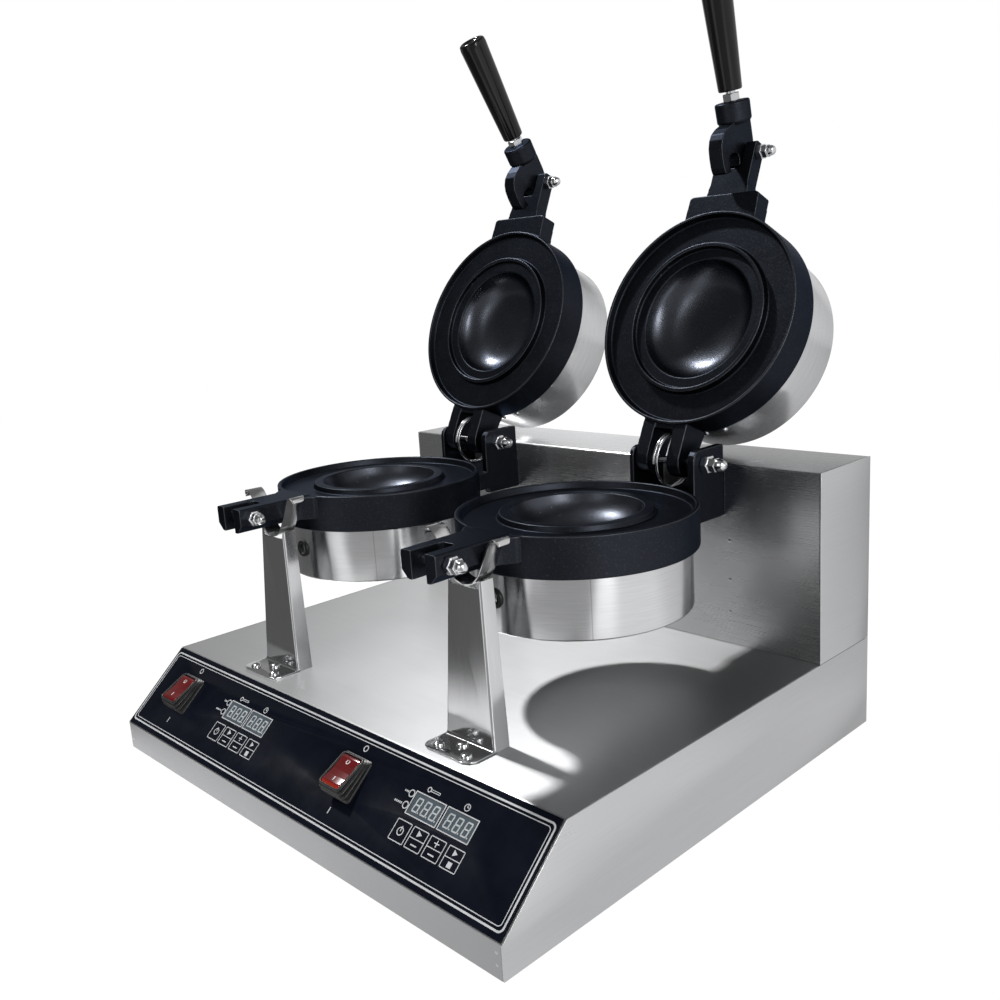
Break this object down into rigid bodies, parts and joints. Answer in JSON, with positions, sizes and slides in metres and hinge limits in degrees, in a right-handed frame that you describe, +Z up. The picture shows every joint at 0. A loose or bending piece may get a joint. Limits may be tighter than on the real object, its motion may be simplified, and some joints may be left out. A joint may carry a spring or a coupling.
{
  "type": "round press iron",
  "caption": "Electric counter-top press iron: hinged round non-stick plates with dished moulds, latch levers with grips, support posts and a sloped panel with switches and displays.",
  "frame": {"origin": "centre of the base's flat underside; the rubber feet reach 8 mm below it", "axes": "+X to the operator's right along the hinge axes, +Y from the control panel towards the rear box, +Z up"},
  "size_m": [0.48, 0.4716, 0.6374],
  "materials": {
    "brushed_steel": "brushed stainless sheet, grain along the width",
    "bright_steel": "bright plated fasteners and polished strap",
    "coated_casting": "satin blue-black non-stick coating on a casting",
    "heater": "dull heater casting, hidden inside the drum",
    "spring_wire": "drawn spring wire",
    "black_plastic": "polished black phenolic",
    "rubber": "matt black rubber",
    "red_lens": "translucent red rocker cap",
    "membrane": "satin printed membrane, white border lines",
    "display": "grey numeric display window"
  },
  "bodies": {
    "base": {"base_shell": "brushed_steel", "base_side_left": "brushed_steel", "base_side_right": "brushed_steel", "bottom_plate": "brushed_steel", "service_cover": "brushed_steel", "foot_front_left": "rubber", "foot_front_right": "rubber", "foot_rear_left": "rubber", "foot_rear_right": "rubber", "rear_box": "brushed_steel", "box_side_left": "brushed_steel", "box_side_right": "brushed_steel", "back_panel": "brushed_steel", "mains_inlet": "black_plastic", "control_overlay": "membrane", "left_lower_plate": "coated_casting", "left_lower_drum": "brushed_steel", "left_lower_heater": "heater", "left_hinge_bolt": "bright_steel", "left_hinge_nut": "bright_steel", "left_hinge_spring": "spring_wire", "left_support_post": "brushed_steel", "left_cradle_strap": "bright_steel", "left_catch_bolt": "bright_steel", "left_catch_nut": "bright_steel", "left_switch_body": "rubber", "left_display_board": "display", "right_lower_plate": "coated_casting", "right_lower_drum": "brushed_steel", "right_lower_heater": "heater", "right_hinge_bolt": "bright_steel", "right_hinge_nut": "bright_steel", "right_hinge_spring": "spring_wire", "right_support_post": "brushed_steel", "right_cradle_strap": "bright_steel", "right_catch_bolt": "bright_steel", "right_catch_nut": "bright_steel", "right_switch_body": "rubber", "right_display_board": "display"},
    "left_press": {"left_upper_plate": "coated_casting", "left_upper_drum": "brushed_steel", "left_upper_heater": "heater", "left_clevis_bolt": "bright_steel", "left_clevis_nut": "bright_steel"},
    "left_latch": {"left_latch_lever": "coated_casting", "left_handle_stud": "bright_steel", "left_handle_grip": "black_plastic"},
    "left_switch": {"left_switch_rocker": "red_lens"},
    "right_press": {"right_upper_plate": "coated_casting", "right_upper_drum": "brushed_steel", "right_upper_heater": "heater", "right_clevis_bolt": "bright_steel", "right_clevis_nut": "bright_steel"},
    "right_latch": {"right_latch_lever": "coated_casting", "right_handle_stud": "bright_steel", "right_handle_grip": "black_plastic"},
    "right_switch": {"right_switch_rocker": "red_lens"}
  },
  "joints": [
    {"name": "left_press_hinge", "type": "hinge", "parent": "base", "child": "left_press", "pos_m": [-0.1202, 0.112, 0.2375], "axis": [1, 0, 0], "range_deg": [0, 113.5]},
    {"name": "left_latch_pivot", "type": "hinge", "parent": "left_press", "child": "left_latch", "pos_m": [-0.1202, 0.21893, 0.48216], "axis": [1, 0, 0], "range_deg": [-77.2, 0.5]},
    {"name": "left_switch_rock", "type": "hinge", "parent": "base", "child": "left_switch", "pos_m": [-0.1867, -0.19126, 0.0568], "axis": [1, 0, 0], "range_deg": [0, 26.8]},
    {"name": "right_press_hinge", "type": "hinge", "parent": "base", "child": "right_press", "pos_m": [0.1202, 0.112, 0.2375], "axis": [1, 0, 0], "range_deg": [0, 113.5]},
    {"name": "right_latch_pivot", "type": "hinge", "parent": "right_press", "child": "right_latch", "pos_m": [0.1202, 0.21893, 0.48216], "axis": [1, 0, 0], "range_deg": [-60.5, 0.5]},
    {"name": "right_switch_rock", "type": "hinge", "parent": "base", "child": "right_switch", "pos_m": [0.0537, -0.19126, 0.0568], "axis": [1, 0, 0], "range_deg": [0, 26.8]}
  ],
  "couplings": [
    {"joint": "left_latch_pivot", "follows": "left_press_hinge", "ratio": -0.67577},
    {"joint": "right_latch_pivot", "follows": "right_press_hinge", "ratio": -0.52863}
  ]
}
